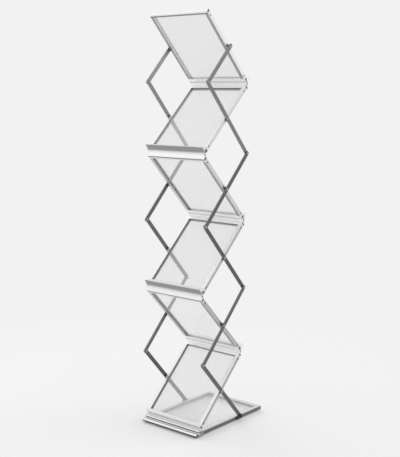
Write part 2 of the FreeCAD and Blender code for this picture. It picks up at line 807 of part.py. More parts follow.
def make_knob(side):
    """Lobed hand knob that clamps the foot of the lowest arm."""
    sign = SIDES[side]
    body = new_body(f"lock_knob_{side}")
    star = new_sketch(body, "YZ_Plane", "star")
    tip = size["knob_radius"]
    valley = size["knob_radius"] - size["knob_valley_depth"]
    pitch = 360 / KNOB_LOBES
    spots = []
    for lobe in range(KNOB_LOBES):
        for radius, share in ((tip, -KNOB_TIP_SHARE), (tip, KNOB_TIP_SHARE), (valley, 1 / 2)):
            turn = as_size((lobe + share) * pitch)
            spots.append((radius * cosine(turn), radius * sine(turn)))
    draw_polygon(star, spots)
    pad(body, star, size["knob_height"])
    bore = new_sketch(body, "YZ_Plane", "bore")
    draw_flats(bore, (0, 0), pin_hole_radius, outside=True)
    cut(body, bore, size["knob_height"] - size["knob_cap"], reverse=True)
    depth, height = arm_pin(0)
    place(body, (sign * knob_start(), depth, height), side_turn(sign))
    return body


def build():
    """All pieces, as they are named and written."""
    pieces = []
    for number in range(1, SHELF_COUNT + 1):
        last = number == SHELF_COUNT
        pieces.append(make_top_rail(number) if last else make_ledge_rail(number))
        pieces.append(make_bottom_rail(number))
        pieces.append(make_side_rails(number))
        pieces.append(make_sheet(number))
        pieces.append(make_pivots(number))
        for side in SIDES:
            pieces.append(make_arm(number, side))
        if not last:
            pieces.append(make_rivets(number))
    pieces.append(make_front_rail())
    pieces.append(make_back_rail())
    for side in SIDES:
        pieces.append(make_base_side_rail(side))
        pieces.append(make_shoe(side))
        pieces.append(make_knob(side))
    pieces.append(make_base_sheet())
    pieces.append(make_feet())
    pieces.append(make_foot_pins())
    return pieces


pieces = build()
doc.recompute()
for thing in doc.Objects:
    if "Invalid" in thing.State or "Error" in thing.State:
        raise RuntimeError(f"{thing.Name} failed to build")
for piece in pieces:
    if piece.Shape.isNull() or not piece.Shape.isValid():
        raise RuntimeError(f"{piece.Label} has no valid shape")
os.makedirs("parts", exist_ok=True)
for piece in pieces:
    piece.Shape.exportStep(f"parts/{piece.Label}.step")
print(f"{len(pieces)} pieces written")
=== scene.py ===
"""Looks of the folding brochure stand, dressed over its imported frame."""

from __future__ import annotations

import json
import logging
import math
from dataclasses import dataclass, field
from enum import Enum
from typing import Mapping, Optional, Sequence, Union

import bmesh
import bpy
from mathutils import Matrix, Vector


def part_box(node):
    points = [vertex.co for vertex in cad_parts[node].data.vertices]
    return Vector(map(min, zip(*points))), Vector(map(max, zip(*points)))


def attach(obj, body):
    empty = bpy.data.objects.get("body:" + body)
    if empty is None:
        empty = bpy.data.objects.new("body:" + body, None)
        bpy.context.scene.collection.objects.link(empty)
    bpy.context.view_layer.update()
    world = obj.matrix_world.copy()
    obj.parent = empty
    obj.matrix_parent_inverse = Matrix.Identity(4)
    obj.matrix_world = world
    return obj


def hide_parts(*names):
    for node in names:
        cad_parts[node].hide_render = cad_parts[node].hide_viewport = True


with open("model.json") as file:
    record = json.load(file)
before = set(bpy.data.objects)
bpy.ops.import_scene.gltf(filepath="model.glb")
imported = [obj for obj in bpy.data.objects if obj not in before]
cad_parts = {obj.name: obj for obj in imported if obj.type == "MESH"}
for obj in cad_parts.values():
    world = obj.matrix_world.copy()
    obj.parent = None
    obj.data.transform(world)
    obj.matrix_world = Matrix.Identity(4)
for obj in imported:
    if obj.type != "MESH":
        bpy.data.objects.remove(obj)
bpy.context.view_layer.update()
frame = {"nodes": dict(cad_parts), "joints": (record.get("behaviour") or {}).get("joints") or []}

log = logging.getLogger("brochure_stand")

SHELF_COUNT = 6
SIDES = {"left": -1.0, "right": 1.0}
SHELF_TILT = math.radians(44.4)
ARM_TILT = math.radians(46.78)
TILT_SINE = math.sin(SHELF_TILT)
TILT_COSINE = math.cos(SHELF_TILT)
UNDER_RISING = (0.0, TILT_SINE, -TILT_COSINE)
UNDER_FALLING = (0.0, -TILT_SINE, -TILT_COSINE)
# The lean of a ledge's flared lip, as the sides of a triangle whose long side is 1
LIP_OUT = 0.82
LIP_DOWN = 0.572
# How squarely a face looks across the stand where its painted shade begins and where it is full
SQUARE_FROM = 0.6
SQUARE_FULL = 0.95
# How far from the stand's middle a side's own painted shade is full
MIDDLE_STRIP = 0.01
NOISE_MIDDLE = 0.5
# Edges of a fitting that are sharper than this stay sharp
CREASE = math.radians(38.0)
# The play between an arm's face and what it turns against
FACE_PLAY = 0.0001
LOBE_COUNT = 10.0
LOBE_DEPTH = 0.085
# How square a plug's outline is: 2 is round, more is squarer
SQUARENESS = 10.0

Colour = tuple[float, float, float]
Number = Union[int, float]


class Term:
    """A value socket that Python's own arithmetic can be used on."""

    def __init__(self, graph: "Graph", socket: bpy.types.NodeSocket) -> None:
        """Keeps the graph and the socket that the value comes from."""
        self.graph = graph
        self.socket = socket

    def also(self, output: str) -> "Term":
        """Another output of the same node."""
        return Term(self.graph, self.socket.node.outputs[output])

    def _maths(self, operation: str, first: "Value", second: "Value") -> "Term":
        """Adds one Math node on two values."""
        return self.graph.node("ShaderNodeMath", {"operation": operation}, {0: first, 1: second})

    def __add__(self, other: "Value") -> "Term":
        """The sum with another value."""
        return self._maths("ADD", self, other)

    __radd__ = __add__

    def __sub__(self, other: "Value") -> "Term":
        """This value less another."""
        return self._maths("SUBTRACT", self, other)

    def __rsub__(self, other: "Value") -> "Term":
        """Another value less this one."""
        return self._maths("SUBTRACT", other, self)

    def __mul__(self, other: "Value") -> "Term":
        """The product with another value."""
        return self._maths("MULTIPLY", self, other)

    __rmul__ = __mul__

    def sign(self) -> "Term":
        """Which side of nought the value lies on."""
        return self._maths("SIGN", self, 0.0)

    def capped(self) -> "Term":
        """The value, or 1 where it is more."""
        return self._maths("MINIMUM", self, 1.0)

    def toned(self, tone: float) -> "Term":
        """A tone where this mask is 1, and 1 where it is 0."""
        return 1.0 - (1.0 - tone) * self


Value = Union[Number, Term]
Input = Union[Number, Sequence[float], Term]


class Graph:
    """A material's or the surround's nodes, added one by one."""

    def __init__(self, tree: bpy.types.NodeTree) -> None:
        """Starts from an empty tree.

        Args:
            tree: the node tree to fill.
        """
        tree.nodes.clear()
        self.tree = tree

    def node(
        self,
        kind: str,
        settings: Optional[Mapping[str, object]] = None,
        inputs: Optional[Mapping[Union[int, str], Input]] = None,
        output: Union[int, str] = 0,
    ) -> Term:
        """Adds one node.

        Args:
            kind: the node's type.
            settings: its own choices, set first.
            inputs: values or links for its sockets.
            output: the output to hand back.

        Returns:
            The chosen output, or the first socket of a node that has none.
        """
        made = self.tree.nodes.new(kind)
        for name, choice in (settings or {}).items():
            setattr(made, name, choice)
        for name, given in (inputs or {}).items():
            socket = made.inputs[name]
            if isinstance(given, Term):
                self.tree.links.new(given.socket, socket)
            elif isinstance(given, (int, float)):
                socket.default_value = given
            else:
                wanted = len(socket.default_value)
                socket.default_value = (*given, 1.0)[:wanted]
        return Term(self, (made.outputs or made.inputs)[output])

    def place(self) -> Term:
        """Where a point lies on the piece at rest."""
        return self.node("ShaderNodeTexCoord", output="Object")

    def facing(self) -> Term:
        """The way that a point of the piece faces at rest."""
        return self.node("ShaderNodeTexCoord", output="Normal")

    def axis(self, vector: Term, name: str) -> Term:
        """One coordinate of a vector."""
        return self.node("ShaderNodeSeparateXYZ", None, {0: vector}, name)

    def dot(self, vector: Term, other: Input) -> Term:
        """How far two directions agree."""
        return self.node(
            "ShaderNodeVectorMath", {"operation": "DOT_PRODUCT"}, {0: vector, 1: other}, "Value",
        )

    def stretch(self, vector: Term, by: Sequence[float]) -> Term:
        """A place with each coordinate scaled."""
        return self.node("ShaderNodeVectorMath", {"operation": "MULTIPLY"}, {0: vector, 1: by})

    def turn(self, vector: Term, angle: float) -> Term:
        """A place turned about the stand's width."""
        return self.node(
            "ShaderNodeVectorRotate", {"rotation_type": "X_AXIS"}, {"Vector": vector, "Angle": angle},
        )

    def noise(self, at: Term, scale: float, detail: float = 2.0, rough: float = 0.5) -> Term:
        """Soft random variation from 0 to 1.

        Args:
            at: the place to read it at.
            scale: how many spots there are in a metre.
            detail: how many finer layers are added.
            rough: how strong those are.

        Returns:
            The variation.
        """
        return self.node(
            "ShaderNodeTexNoise", {"noise_dimensions": "3D"},
            {"Vector": at, "Scale": scale, "Detail": detail, "Roughness": rough}, 0,
        )

    def fade(self, value: Term, low: float, high: float) -> Term:
        """A smooth step from 0 to 1.

        Args:
            value: what the step goes by.
            low: the value where it is still 0.
            high: the value where it is 1.

        Returns:
            The step.
        """
        return self.node(
            "ShaderNodeMapRange", {"interpolation_type": "SMOOTHSTEP"},
            {"Value": value, "From Min": low, "From Max": high},
        )

    def blend(self, share: Value, first: Input, second: Input) -> Term:
        """A colour between two."""
        return self.node("ShaderNodeMix", {"data_type": "RGBA"}, {0: share, 6: first, 7: second}, 2)

    def soft_edges(self, radius: float) -> Term:
        """The surface's direction with its edges broken."""
        return self.node("ShaderNodeBevel", {"samples": 6}, {"Radius": radius})

    def shelter(self, distance: float) -> Term:
        """How open a point is: 1 on a plain face, less in a groove.

        Args:
            distance: how near the groove's other wall has to be.

        Returns:
            The openness.
        """
        return self.node(
            "ShaderNodeAmbientOcclusion", {"samples": 8, "only_local": True}, {"Distance": distance}, "AO",
        )

    def bump(self, height: Term, depth: float, strength: float, normal: Optional[Term] = None) -> Term:
        """A surface direction that follows a height.

        Args:
            height: the height, from 0 to 1.
            depth: what a height of 1 is in metres.
            strength: how far it shows.
            normal: the direction it starts from.

        Returns:
            The direction.
        """
        inputs = {"Height": height, "Distance": depth, "Strength": strength}
        if normal is not None:
            inputs["Normal"] = normal
        return self.node("ShaderNodeBump", None, inputs)

    def wear(self, rounded: Term, low: float, high: float) -> Term:
        """How far an edge is rubbed bare.

        Args:
            rounded: the surface's direction with its edges broken.
            low: how far that turns from the plain direction where the wear begins.
            high: how far it turns where the wear is full.

        Returns:
            The wear, from 0 to 1.
        """
        plain = self.node("ShaderNodeNewGeometry", output="Normal")
        return self.fade(1.0 - self.dot(rounded, plain), low, high)

    def surface(self, shader: Term) -> None:
        """Shows a shader on the material."""
        self.node("ShaderNodeOutputMaterial", None, {"Surface": shader})

    def principled(self, inputs: Mapping[str, Input]) -> None:
        """Shows a surface of these values on the material."""
        self.surface(self.node("ShaderNodeBsdfPrincipled", None, inputs))


class Grain(Enum):
    """The way that a piece was drawn or rolled, as its turn from the depth axis."""

    ACROSS = None
    LEVEL = 0.0
    RISING = -SHELF_TILT
    FALLING = SHELF_TILT
    ARM_RISING = -ARM_TILT
    ARM_FALLING = ARM_TILT

    def lines(self, graph: Graph, fine: float, long: float) -> Term:
        """A place stretched so that noise read there runs in lines.

        Args:
            graph: the graph to add to.
            fine: lines in a metre.
            long: breaks along a line in a metre.

        Returns:
            The stretched place.
        """
        at = graph.place()
        if self is Grain.ACROSS:
            return graph.stretch(at, (long, fine, fine))
        return graph.stretch(graph.turn(at, self.value), (fine, long, fine))


def new_material(name: str) -> tuple[bpy.types.Material, Graph]:
    """Starts a material.

    Args:
        name: its name.

    Returns:
        The empty material and its graph.
    """
    material = bpy.data.materials.new(name)
    material.use_nodes = True
    return material, Graph(material.node_tree)


@dataclass(frozen=True)
class PaintedShadeFace:
    """A face of an extrusion with painted shade, a tone darker than the rest.

    Args:
        towards: the way it faces at rest.
        tone: its painted shade, as a share of the metal's own tone.
        start: how well a direction agrees where the tone begins.
        full: how well it agrees where the tone is full.
        rise: pairs of heights in the piece's box between which the tone comes in,
            if not over all the face.
        side: the side of the stand that it is on, if not both.
    """

    towards: tuple[float, float, float]
    tone: float
    start: float = 0.85
    full: float = 0.99
    rise: tuple[tuple[float, float], ...] = ()
    side: Optional[float] = None

    def seen(self, g: Graph) -> Term:
        """How far a point of the piece lies on the face.

        Args:
            g: the material's graph.

        Returns:
            The share, from 0 to 1.
        """
        agrees = g.fade(g.dot(g.facing(), self.towards), self.start, self.full)
        for window in self.rise:
            height = g.axis(g.node("ShaderNodeTexCoord", output="Generated"), "Z")
            agrees = agrees * g.fade(height, *window)
        if self.side is not None:
            agrees = agrees * g.fade(g.axis(g.place(), "X") * self.side, 0.0, MIDDLE_STRIP)
        return agrees


@dataclass(frozen=True)
class AnodisedMetal:
    """Satin anodised aluminium with drawing lines along the extrusion.

    A tone is a share of the metal's own colour. The inner and outer tones are painted shade on faces
    that look in and out across the stand, and the painted shade faces have theirs; painted shade also
    darkens the piece's own grooves. Streaks and lines add to the plain tone, and grime takes from it.
    Lines, smudges and grime add to the satin roughness.
    """

    name: str
    grain: Grain
    colour: Colour
    # Painted shade on faces that look in and out across the stand
    inner_painted_shade: float = 0.46
    outer_painted_shade: float = 1.0
    # Painted shade on chosen faces
    painted_shade_faces: tuple[PaintedShadeFace, ...] = ()
    metallic: float = 0.82
    satin: float = 0.30
    edge: float = 0.0007
    # Painted shade in the piece's own grooves: how near the other wall must be, and how dark it gets
    groove: float = 0.007
    groove_painted_shade: float = 0.45
    plain_tone: float = 0.91
    streak_tone: float = 0.11
    line_tone: float = 0.06
    grime_tone: float = 0.06
    line_rough: float = 0.09
    smudge_rough: float = 0.10
    grime_rough: float = 0.10
    bare: Colour = (0.9, 0.9, 0.91)
    bare_share: float = 0.35
    streak_height: float = 0.4
    line_height: float = 0.00004
    line_strength: float = 0.22

    def painted_face_shade(self, g: Graph) -> Term:
        """The painted shade that a face has by the way it points at rest.

        Args:
            g: the material's graph.

        Returns:
            The tone.
        """
        outward = g.axis(g.facing(), "X") * g.axis(g.place(), "X").sign()
        inner = g.fade(outward, -SQUARE_FROM, -SQUARE_FULL)
        outer = g.fade(outward, SQUARE_FROM, SQUARE_FULL)
        tone = inner.toned(self.inner_painted_shade) * outer.toned(self.outer_painted_shade)
        for face in self.painted_shade_faces:
            tone = tone * face.seen(g).toned(face.tone)
        return tone

    def make(self) -> bpy.types.Material:
        """Makes the finish.

        Returns:
            The material.
        """
        material, g = new_material(self.name)
        lines = g.noise(self.grain.lines(g, fine=1500.0, long=5.0), scale=1.0, detail=3.0, rough=0.6)
        streaks = g.noise(self.grain.lines(g, fine=260.0, long=2.0), scale=1.0)
        smudge = g.noise(g.place(), scale=16.0, detail=3.0)
        grime = g.fade(g.noise(g.place(), scale=55.0, detail=4.0, rough=0.65), low=0.58, high=0.78)
        drawn = self.plain_tone + self.streak_tone * streaks + self.line_tone * lines
        tone = self.painted_face_shade(g) * drawn * (1.0 - self.grime_tone * grime)
        # Painted shade: darker where the piece shelters itself in its grooves
        openness = g.fade(g.shelter(self.groove), low=0.15, high=0.85)
        tone = tone * (self.groove_painted_shade + (1.0 - self.groove_painted_shade) * openness)
        rounded = g.soft_edges(self.edge)
        worn = g.wear(rounded, low=0.02, high=0.22)
        metal = g.blend(tone, (0.0, 0.0, 0.0), self.colour)
        rough = self.satin + self.line_rough * lines + self.smudge_rough * smudge
        height = lines + self.streak_height * streaks
        g.principled({
            "Base Color": g.blend(worn * self.bare_share, metal, self.bare),
            "Metallic": self.metallic,
            "Roughness": rough + self.grime_rough * grime,
            "Normal": g.bump(height, self.line_height, self.line_strength, rounded),
        })
        return material


@dataclass(frozen=True)
class ClearSheet:
    """Clear acrylic, slightly hazy, with fine rubbing marks and a little dust.

    The cover is how much of what lies behind it hides, and the shade is the share of that which
    throws a shadow. Haze, dust and rubbing vary the cover and add to the polished roughness.
    """

    name: str
    colour: Colour = (0.88, 0.88, 0.88)
    cover: float = 0.25
    shade: float = 0.1
    polish: float = 0.16
    bending: float = 1.49
    dust_colour: Colour = (0.9, 0.9, 0.88)
    dust_share: float = 0.4
    haze_cover: float = 0.04
    dust_cover: float = 0.015
    rubbed_cover: float = 0.01
    haze_rough: float = 0.10
    rubbed_rough: float = 0.10
    dust_rough: float = 0.08

    def make(self) -> bpy.types.Material:
        """Makes the finish.

        Returns:
            The material.
        """
        material, g = new_material(self.name)
        at = g.place()
        haze = g.noise(at, scale=7.0, detail=3.0)
        dust = g.fade(g.noise(at, scale=900.0, rough=0.7), low=0.66, high=0.8)
        marks = g.noise(g.stretch(at, (30.0, 420.0, 420.0)), scale=1.0, detail=3.0, rough=0.6)
        rubbed = g.fade(marks, low=0.6, high=0.8)
        cover = self.cover + self.haze_cover * (haze - NOISE_MIDDLE) + self.dust_cover * dust
        cover = cover + self.rubbed_cover * rubbed
        passing = g.node("ShaderNodeLightPath", output="Is Shadow Ray")
        rough = self.polish + self.haze_rough * haze + self.rubbed_rough * rubbed
        g.principled({
            "Base Color": g.blend(dust * self.dust_share, self.colour, self.dust_colour),
            "Roughness": rough + self.dust_rough * dust,
            "IOR": self.bending,
            "Alpha": cover * passing.toned(self.shade),
            "Normal": g.bump(haze, depth=0.0002, strength=0.04),
        })
        return material


@dataclass(frozen=True)
class MouldedPlastic:
    """Black moulded plastic with a fine matt grain, paler where it is rubbed."""

    name: str
    colour: Colour = (0.03, 0.03, 0.032)
    rubbed: Colour = (0.09, 0.09, 0.092)
    matt: float = 0.42
    grain: float = 2600.0
    edge: float = 0.0004
    face_share: float = 0.45
    edge_share: float = 0.5
    pore_rough: float = 0.18
    rubbed_rough: float = 0.1

    def make(self) -> bpy.types.Material:
        """Makes the finish.

        Returns:
            The material.
        """
        material, g = new_material(self.name)
        at = g.place()
        pores = g.noise(at, self.grain, rough=0.6)
        rubbing = g.fade(g.noise(at, scale=180.0, detail=4.0, rough=0.65), low=0.5, high=0.75)
        rounded = g.soft_edges(self.edge)
        worn = g.wear(rounded, low=0.03, high=0.25)
        bare = (rubbing * self.face_share + worn * self.edge_share).capped()
        g.principled({
            "Base Color": g.blend(bare, self.colour, self.rubbed),
            "Roughness": self.matt + self.pore_rough * pores + self.rubbed_rough * rubbing,
            "Normal": g.bump(pores, depth=0.00006, strength=0.5, normal=rounded),
        })
        return material


@dataclass(frozen=True)
class BrightSteel:
    """Turned steel with rings of fine tool marks and dull spots."""

    name: str
    colour: Colour = (0.36, 0.36, 0.365)
    stain: Colour = (0.2, 0.2, 0.205)
    metallic: float = 1.0
    polish: float = 0.2
    stain_share: float = 0.6
    mark_rough: float = 0.16
    stain_rough: float = 0.22

    def make(self) -> bpy.types.Material:
        """Makes the finish.

        Returns:
            The material.
        """
        material, g = new_material(self.name)
        at = g.place()
        marks = g.noise(g.stretch(at, (2400.0, 900.0, 900.0)), scale=1.0, detail=3.0, rough=0.6)
        dull = g.fade(g.noise(at, scale=320.0, detail=4.0, rough=0.65), low=0.45, high=0.75)
        g.principled({
            "Base Color": g.blend(dull * self.stain_share, self.colour, self.stain),
            "Metallic": self.metallic,
            "Roughness": self.polish + self.mark_rough * marks + self.stain_rough * dull,
            "Normal": g.bump(marks, depth=0.00005, strength=0.4),
        })
        return material


Recipe = Union[AnodisedMetal, ClearSheet, MouldedPlastic, BrightSteel]


class Outline(Enum):
    """The outline of one ring of a turned or moulded fitting."""

    ROUND = "round"
    HEXAGON = "hexagon"
    LOBED = "lobed"
    SQUARE = "square with round corners"

    def share(self, angle: float) -> float:
        """The part of the ring's radius that the outline reaches.

        Args:
            angle: the angle round the ring.

        Returns:
            The part, 1 at most.
        """
        if self is Outline.HEXAGON:
            step = math.pi / 3.0
            return math.cos(step / 2.0) / math.cos(angle % step - step / 2.0)
        if self is Outline.LOBED:
            return 1.0 - LOBE_DEPTH * (1.0 - math.cos(LOBE_COUNT * angle))
        if self is Outline.SQUARE:
            total = abs(math.cos(angle)) ** SQUARENESS + abs(math.sin(angle)) ** SQUARENESS
            return total ** (-1.0 / SQUARENESS)
        return 1.0


@dataclass(frozen=True)
class Ring:
    """One ring of a fitting: how far out along its axis, how tall, of what outline and how narrow."""

    out: float
    radius: float
    outline: Outline = Outline.ROUND
    narrow: float = 1.0


def facing_out(
    spot: Sequence[float], outward: Sequence[float], upward: Sequence[float] = (0.0, 0.0, 1.0),
) -> Matrix:
    """The placement of a fitting.

    Args:
        spot: where its axis starts.
        outward: the way its axis points.
        upward: the way its height runs.

    Returns:
        The placement, with the axis along Z and the height along Y.
    """
    axis = Vector(outward).normalized()
    across = Vector(upward).cross(axis).normalized()
    turn = Matrix((across, axis.cross(across), axis)).transposed().to_4x4()
    return Matrix.Translation(Vector(spot)) @ turn


class Fittings:
    """Several fittings of one kind, gathered into one piece."""

    def __init__(self, name: str) -> None:
        """Starts an empty piece under its name."""
        self.name = name
        self.mesh = bmesh.new()

    def turn(self, place: Matrix, rings: Sequence[Ring], sides: int = 40) -> None:
        """Adds one fitting, closed by a point at each end.

        Args:
            place: where it sits, its axis along Z.
            rings: its rings from one end to the other, the first and last of no width.
            sides: how many corners each ring has.
        """
        loops: list[list[bmesh.types.BMVert]] = []
        for ring in rings:
            if ring.radius == 0.0:
                loops.append([self.mesh.verts.new(place @ Vector((0.0, 0.0, ring.out)))])
                continue
            loop = []
            for index in range(sides):
                angle = 2.0 * math.pi * index / sides
                reach = ring.radius * ring.outline.share(angle)
                corner = Vector((reach * math.cos(angle) * ring.narrow, reach * math.sin(angle), ring.out))
                loop.append(self.mesh.verts.new(place @ corner))
            loops.append(loop)
        for low, high in zip(loops, loops[1:]):
            for index in range(sides):
                after = (index + 1) % sides
                below = [low[index % len(low)], low[after % len(low)]]
                above = [high[after % len(high)], high[index % len(high)]]
                self.mesh.faces.new(list(dict.fromkeys(below + above)))

    def piece(
        self, finish: bpy.types.Material, body: str, instead_of: Sequence[str] = (),
    ) -> None:
        """Makes the object and lets it ride.

        Args:
            finish: its material.
            body: the body it moves with.
            instead_of: the nodes it stands for.
        """
        bmesh.ops.recalc_face_normals(self.mesh, faces=self.mesh.faces)
        data = bpy.data.meshes.new(self.name)
        self.mesh.to_mesh(data)
        self.mesh.free()
        for face in data.polygons:
            face.use_smooth = True
        data.set_sharp_from_angle(angle=CREASE)
        data.materials.append(finish)
        made = bpy.data.objects.new(self.name, data)
        bpy.context.scene.collection.objects.link(made)
        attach(made, body)
        if instead_of:
            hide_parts(*instead_of)
        log.info("%s: %d faces on %s", self.name, len(data.polygons), body)


def plug_rings(half_height: float, half_width: float, outline: Outline = Outline.SQUARE) -> list[Ring]:
    """The rings of a push-in plug for a hollow rail's end.

    Args:
        half_height: half the hollow's height.
        half_width: half the hollow's width.
        outline: the hollow's outline.

    Returns:
        The rings, from the plug's inner end to its rounded face.
    """
    brim = 0.0004
    skin = 0.0007
    depth = 0.004
    play = 0.0001
    lift = 0.00002
    narrow = half_width / half_height
    wide = half_height + brim
    brim_narrow = (half_width + brim) / wide
    fit = half_height - play
    return [
        Ring(-depth, 0.0), Ring(-depth, 0.9 * fit, outline, narrow),
        Ring(-0.6 * depth, fit, outline, narrow), Ring(lift, fit, outline, narrow),
        Ring(lift, wide, outline, brim_narrow), Ring(0.6 * skin, wide, outline, brim_narrow),
        Ring(skin, 0.93 * wide, outline, brim_narrow), Ring(skin, 0.5 * wide, outline, brim_narrow),
        Ring(0.8 * skin, 0.42 * wide, outline, brim_narrow), Ring(0.8 * skin, 0.0),
    ]


def dress(node: str, finish: bpy.types.Material) -> None:
    """Gives a node of the frame its finish.

    Args:
        node: the node's name.
        finish: its material.
    """
    held = frame["nodes"][node]
    for holder in held.material_slots:
        holder.material = finish
    log.info("%s: %s", node, finish.name)


def middle(node: str) -> Vector:
    """The middle of a node's box."""
    low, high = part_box(node)
    return (low + high) / 2.0


@dataclass
class Finishes:
    """Every finish of the stand, made once.

    From the lowest up, each side rail has an inner and an outer painted shade, darker on the lower
    shelves, and each arm a colour before those two, lighter on the top arms as painted light.
    An arm's blue is a little more than its red.
    """

    # One anodised aluminium in four tones: the bright and light ones are painted light, the mid one painted
    # shade
    bright: Colour = (0.97, 0.97, 0.975)
    light: Colour = (0.9, 0.9, 0.905)
    plain: Colour = (0.88, 0.885, 0.89)
    painted_shade_mid: Colour = (0.78, 0.785, 0.79)
    # Painted shade on the side rails, inner and outer, shelf by shelf from the lowest up
    rail_painted_shades: tuple[tuple[float, float], ...] = (
        (0.2, 0.48), (0.36, 0.55), (0.18, 0.56), (0.34, 0.75), (0.46, 0.82), (0.95, 1.0),
    )
    # Each arm's colour and its inner and outer painted shades, from the lowest up; the top arms' lighter
    # colours are painted light
    arm_painted_light_and_shade: tuple[tuple[float, float, float], ...] = (
        (0.28, 0.45, 0.5), (0.28, 0.69, 0.53), (0.28, 0.59, 0.38),
        (0.28, 0.59, 0.46), (0.33, 1.0, 0.68), (0.39, 1.0, 0.64),
    )
    arm_cool: float = 0.005
    made: dict[str, bpy.types.Material] = field(default_factory=dict)

    def side_rails(self) -> list[Recipe]:
        """The finishes of the shelves' side rails.

        Returns:
            The recipes, from the lowest shelf up.
        """
        # Painted shade on the rails' under faces, darker under the right rails of the falling shelves, and
        # on the top shelf's left outer faces
        under_rising = PaintedShadeFace(UNDER_RISING, 0.5)
        under_left = PaintedShadeFace(UNDER_FALLING, 0.68, side=SIDES["left"])
        under_right = PaintedShadeFace(UNDER_FALLING, 0.48, side=SIDES["right"])
        under_top = PaintedShadeFace(UNDER_FALLING, 0.44)
        left_out = PaintedShadeFace((-1.0, 0.0, 0.0), 0.78, start=0.7, full=0.95, side=SIDES["left"])
        recipes: list[Recipe] = []
        for number, (inner, outer) in enumerate(self.rail_painted_shades, 1):
            grain, colour = Grain.FALLING, self.plain
            faces: tuple[PaintedShadeFace, ...] = (under_left, under_right)
            if number % 2:
                grain, faces = Grain.RISING, (under_rising,)
            # The top shelf's rails take the light tone, painted light
            if number == SHELF_COUNT:
                colour, faces = self.light, (under_top, left_out)
            recipes.append(AnodisedMetal(f"rail_{number}", grain, colour, inner, outer, faces))
        return recipes

    def cross_rails(self) -> list[Recipe]:
        """The finishes of the shelves' bottom rails, ledges and top rail.

        Returns:
            The recipes.
        """
        # Painted shade on the foot rails' faces, the ledges' lips, rolled faces, edges and ends, and under
        # the top rail
        foot_face = PaintedShadeFace((0.0, -TILT_SINE, TILT_COSINE), 0.76)
        foot_line = PaintedShadeFace(UNDER_FALLING, 0.66, rise=((0.24, 0.3), (0.46, 0.4)))
        lip_front = PaintedShadeFace((0.0, -LIP_OUT, -LIP_DOWN), 0.36, start=0.86, rise=((0.05, 0.12),))
        lip_tip = PaintedShadeFace((0.0, -LIP_DOWN, LIP_OUT), 0.74, start=0.8, full=0.98)
        lip_back = PaintedShadeFace((0.0, LIP_OUT, -LIP_DOWN), 0.45, start=0.86)
        roll_front = PaintedShadeFace((0.0, -1.0, 0.0), 0.55, start=0.95, rise=((0.34, 0.74),))
        edge_rising = PaintedShadeFace(UNDER_RISING, 0.9, start=0.988, full=0.998)
        edge_falling = PaintedShadeFace(UNDER_FALLING, 0.9, start=0.988, full=0.998)
        end_rising = PaintedShadeFace((0.0, -TILT_COSINE, -TILT_SINE), 0.25, start=0.9)
        end_falling = PaintedShadeFace((0.0, TILT_COSINE, -TILT_SINE), 0.3, start=0.9)
        top_under = PaintedShadeFace(UNDER_FALLING, 0.28, rise=((0.30, 0.16),))
        return [
            AnodisedMetal(
                "foot_rail", Grain.ACROSS, self.bright, outer_painted_shade=0.8, groove_painted_shade=0.8,
                painted_shade_faces=(foot_face, foot_line),
            ),
            # Shelf 1's foot rail in the mid tone, painted shade
            AnodisedMetal("low_foot_rail_painted_shade", Grain.ACROSS, self.painted_shade_mid),
            AnodisedMetal(
                "ledge_back", Grain.ACROSS, self.bright, outer_painted_shade=0.8, groove_painted_shade=0.75,
                painted_shade_faces=(lip_back, edge_rising, end_rising),
            ),
            AnodisedMetal(
                "ledge_front", Grain.ACROSS, self.light, outer_painted_shade=0.8,
                painted_shade_faces=(lip_front, lip_tip, roll_front, edge_falling, end_falling),
            ),
            AnodisedMetal(
                "top_rail", Grain.ACROSS, self.light, outer_painted_shade=0.8, painted_shade_faces=(end_falling, top_under),
            ),
        ]

    def base_rails(self) -> list[Recipe]:
        """The finishes of the base's rails.

        Returns:
            The recipes.
        """
        # Painted shade under the base's nose and in its trough; the base rails' inner and outer faces are
        # painted darker too
        nose_under = PaintedShadeFace((0.0, -0.6, -0.8), 0.03, start=0.42, full=0.84)
        trough = PaintedShadeFace((0.0, 0.0, 1.0), 0.5, full=0.98)
        return [
            AnodisedMetal(
                "base_front_rail", Grain.ACROSS, self.light, outer_painted_shade=0.4, groove=0.012, groove_painted_shade=0.3,
                painted_shade_faces=(nose_under, trough),
            ),
            AnodisedMetal("base_back_rail", Grain.ACROSS, self.painted_shade_mid, outer_painted_shade=0.5),
            AnodisedMetal("base_side_rail", Grain.LEVEL, self.painted_shade_mid, inner_painted_shade=0.6, outer_painted_shade=0.3),
        ]

    def sheets_and_fittings(self) -> list[Recipe]:
        """The finishes of the clear sheets and of the fittings.

        Returns:
            The recipes.
        """
        return [
            ClearSheet("clear_sheet"),
            MouldedPlastic("black_plastic"),
            MouldedPlastic(
                "foot_rubber", (0.035, 0.035, 0.035), (0.1, 0.1, 0.098), matt=0.7, grain=1500.0,
            ),
            BrightSteel("rivet_steel"),
            BrightSteel("pivot_steel", (0.44, 0.44, 0.445), (0.26, 0.26, 0.262), polish=0.26),
            BrightSteel(
                "black_screw", (0.05, 0.05, 0.052), (0.02, 0.02, 0.02), metallic=0.8, polish=0.3,
            ),
        ]

    def arms(self) -> list[Recipe]:
        """The finishes of the arms.

        Returns:
            The recipes, from the lowest pair up.
        """
        recipes: list[Recipe] = []
        # Each arm's colour, lighter on the top arms as painted light, and its painted inner and outer
        # shades
        for number, (shade, inner, outer) in enumerate(self.arm_painted_light_and_shade, 1):
            grain = Grain.ARM_FALLING if number % 2 else Grain.ARM_RISING
            colour = (shade, shade, shade + self.arm_cool)
            recipes.append(AnodisedMetal(
                f"arm_{number}", grain, colour, inner, outer, metallic=0.75, satin=0.34, edge=0.0004,
            ))
        return recipes

    def build(self) -> None:
        """Makes the materials."""
        rails = self.side_rails() + self.cross_rails() + self.base_rails()
        for recipe in rails + self.sheets_and_fittings() + self.arms():
            self.made[recipe.name] = recipe.make()

    def __getitem__(self, name: str) -> bpy.types.Material:
        """The material of a name."""
        return self.made[name]


